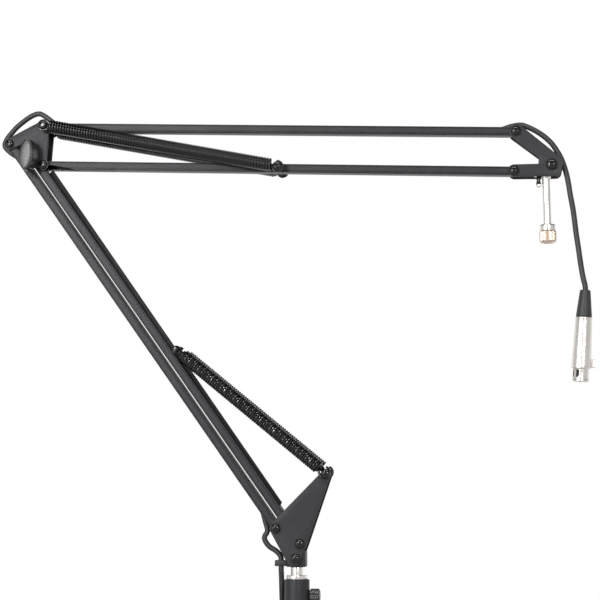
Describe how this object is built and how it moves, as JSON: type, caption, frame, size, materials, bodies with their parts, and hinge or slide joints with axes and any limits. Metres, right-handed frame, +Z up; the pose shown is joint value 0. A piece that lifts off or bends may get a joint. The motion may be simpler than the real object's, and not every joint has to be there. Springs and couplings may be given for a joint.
{
  "type": "microphone stand",
  "caption": "Desk-clamp boom arm for a microphone: sprung parallel links, locking elbow knob, threaded mic post and a built-in cable with plugs.",
  "frame": {"origin": "centre of the clamp pad's underside, on the desk top and on the base post's axis", "axes": "+X along the upper arm towards the microphone end, +Y over the desk away from the clamp's spine, +Z up"},
  "size_m": [0.5777, 0.1283, 0.6268],
  "materials": {
    "coat": "satin anthracite powder coat",
    "black_steel": "glossy black",
    "spring_steel": "glossy black spring wire",
    "knob": "moulded dark grey",
    "nickel": "satin nickel plate",
    "brass": "nickel plated brass, knurled",
    "rubber": "dark grey rubber",
    "plastic": "black"
  },
  "bodies": {
    "clamp": {"clamp_frame": "coat", "clamp_top_pad": "rubber", "socket_bushing": "plastic", "cable_base_drop": "rubber", "cable_coil": "rubber", "coil_tie": "plastic", "cable_tail": "rubber", "xlr_male_boot": "rubber", "xlr_male_shell": "nickel", "xlr_male_insert": "plastic"},
    "foot": {"clamp_foot": "rubber"},
    "screw": {"clamp_screw": "nickel"},
    "handle_bar": {"clamp_handle_bar": "nickel"},
    "lock_screw": {"socket_lock_screw": "knob"},
    "base": {"base_post": "nickel", "base_block": "coat", "base_plate_front": "coat", "base_plate_rear": "coat", "base_block_bolt": "black_steel", "base_bolt_outer": "black_steel", "base_bolt_inner": "black_steel", "base_spring_bolt": "black_steel", "cable_clip": "plastic", "cable_base_loop": "rubber"},
    "lower_outer": {"lower_outer_tube": "coat", "cable_run_lower": "rubber"},
    "lower_inner": {"lower_inner_tube": "coat", "lower_spring_pin": "black_steel", "lower_spring_front": "spring_steel", "lower_spring_rear": "spring_steel"},
    "elbow": {"elbow_plate_front": "coat", "elbow_plate_rear": "coat", "elbow_bolt_lower": "black_steel", "elbow_bolt_upper": "black_steel", "elbow_bolt_bottom": "black_steel", "elbow_knob_bolt": "black_steel", "cable_elbow_lower": "rubber", "cable_elbow_upper": "rubber"},
    "knob": {"elbow_knob": "knob"},
    "upper_top": {"upper_top_tube": "coat", "cable_run_upper": "rubber"},
    "upper_bottom": {"upper_bottom_tube": "coat", "upper_spring_bolt": "black_steel", "upper_spring_front": "spring_steel", "upper_spring_rear": "spring_steel"},
    "head": {"head_plate_front": "coat", "head_plate_rear": "coat", "head_bolt_top": "black_steel", "head_bolt_bottom": "black_steel", "head_main_bolt": "black_steel", "head_stop_screw": "black_steel", "cable_head_loop": "rubber", "cable_drop": "rubber", "xlr_female_boot": "rubber", "xlr_female_shell": "nickel", "xlr_female_insert": "plastic"},
    "post": {"mic_post": "nickel", "thread_adapter": "brass"},
    "latch": {"xlr_female_latch": "nickel"}
  },
  "joints": [
    {"name": "base_swivel", "type": "hinge", "parent": "clamp", "child": "base", "pos_m": [0, 0, 0.05], "axis": [0, 0, 1], "range_deg": [-90, 90], "deforming": ["cable_base_drop"]},
    {"name": "lower_arm_swing", "type": "hinge", "parent": "base", "child": "lower_outer", "pos_m": [-0.0192, 0, 0.0983], "axis": [0, 1, 0], "range_deg": [-5, 45], "deforming": ["cable_base_loop"]},
    {"name": "lower_link_swing", "type": "hinge", "parent": "base", "child": "lower_inner", "pos_m": [0.0041, 0, 0.084], "axis": [0, 1, 0], "range_deg": [-5, 45], "deforming": ["lower_spring_front", "lower_spring_rear"]},
    {"name": "elbow_level", "type": "hinge", "parent": "lower_outer", "child": "elbow", "pos_m": [-0.28689, 0, 0.47484], "axis": [0, 1, 0], "range_deg": [-45, 5], "deforming": ["cable_elbow_lower"]},
    {"name": "upper_arm_swing", "type": "hinge", "parent": "elbow", "child": "upper_top", "pos_m": [-0.25039, 0, 0.49114], "axis": [0, 1, 0], "range_deg": [-50, 40], "deforming": ["cable_elbow_upper"]},
    {"name": "upper_link_swing", "type": "hinge", "parent": "elbow", "child": "upper_bottom", "pos_m": [-0.25239, 0, 0.45314], "axis": [0, 1, 0], "range_deg": [-50, 40], "deforming": ["upper_spring_front", "upper_spring_rear"]},
    {"name": "head_level", "type": "hinge", "parent": "upper_top", "child": "head", "pos_m": [0.21128, 0, 0.47381], "axis": [0, 1, 0], "range_deg": [-40, 50], "deforming": ["cable_head_loop"]},
    {"name": "elbow_knob_turn", "type": "hinge", "parent": "elbow", "child": "knob", "pos_m": [-0.26359, 0, 0.46054], "axis": [0, 1, 0], "range_deg": [-180, 180]},
    {"name": "mic_post_tilt", "type": "hinge", "parent": "head", "child": "post", "pos_m": [0.24458, 0, 0.44081], "axis": [0, 1, 0], "range_deg": [-12, 1]},
    {"name": "xlr_latch_press", "type": "slide", "parent": "head", "child": "latch", "axis": [-0.9978, 0, 0.0659], "range_m": [0, 0.0012], "stiffness_N_per_m": 300},
    {"name": "clamp_foot_travel", "type": "slide", "parent": "clamp", "child": "foot", "axis": [0, 0, 1], "range_m": [-0.03, 0.02]},
    {"name": "clamp_screw_turn", "type": "hinge", "parent": "foot", "child": "screw", "pos_m": [0, 0, -0.025], "axis": [0, 0, 1], "range_deg": [-5410, 3610]},
    {"name": "clamp_bar_slide", "type": "slide", "parent": "screw", "child": "handle_bar", "axis": [1, 0, 0], "range_m": [-0.02, 0.02]},
    {"name": "socket_lock_turn", "type": "hinge", "parent": "clamp", "child": "lock_screw", "pos_m": [0.017, 0, 0.035], "axis": [1, 0, 0], "range_deg": [-360, 360]}
  ],
  "couplings": [
    {"joint": "lower_link_swing", "follows": "lower_arm_swing", "ratio": 1},
    {"joint": "elbow_level", "follows": "lower_arm_swing", "ratio": -1},
    {"joint": "upper_link_swing", "follows": "upper_arm_swing", "ratio": 1},
    {"joint": "head_level", "follows": "upper_arm_swing", "ratio": -1},
    {"joint": "clamp_screw_turn", "follows": "clamp_foot_travel", "rad_per_m": 3141.6}
  ]
}
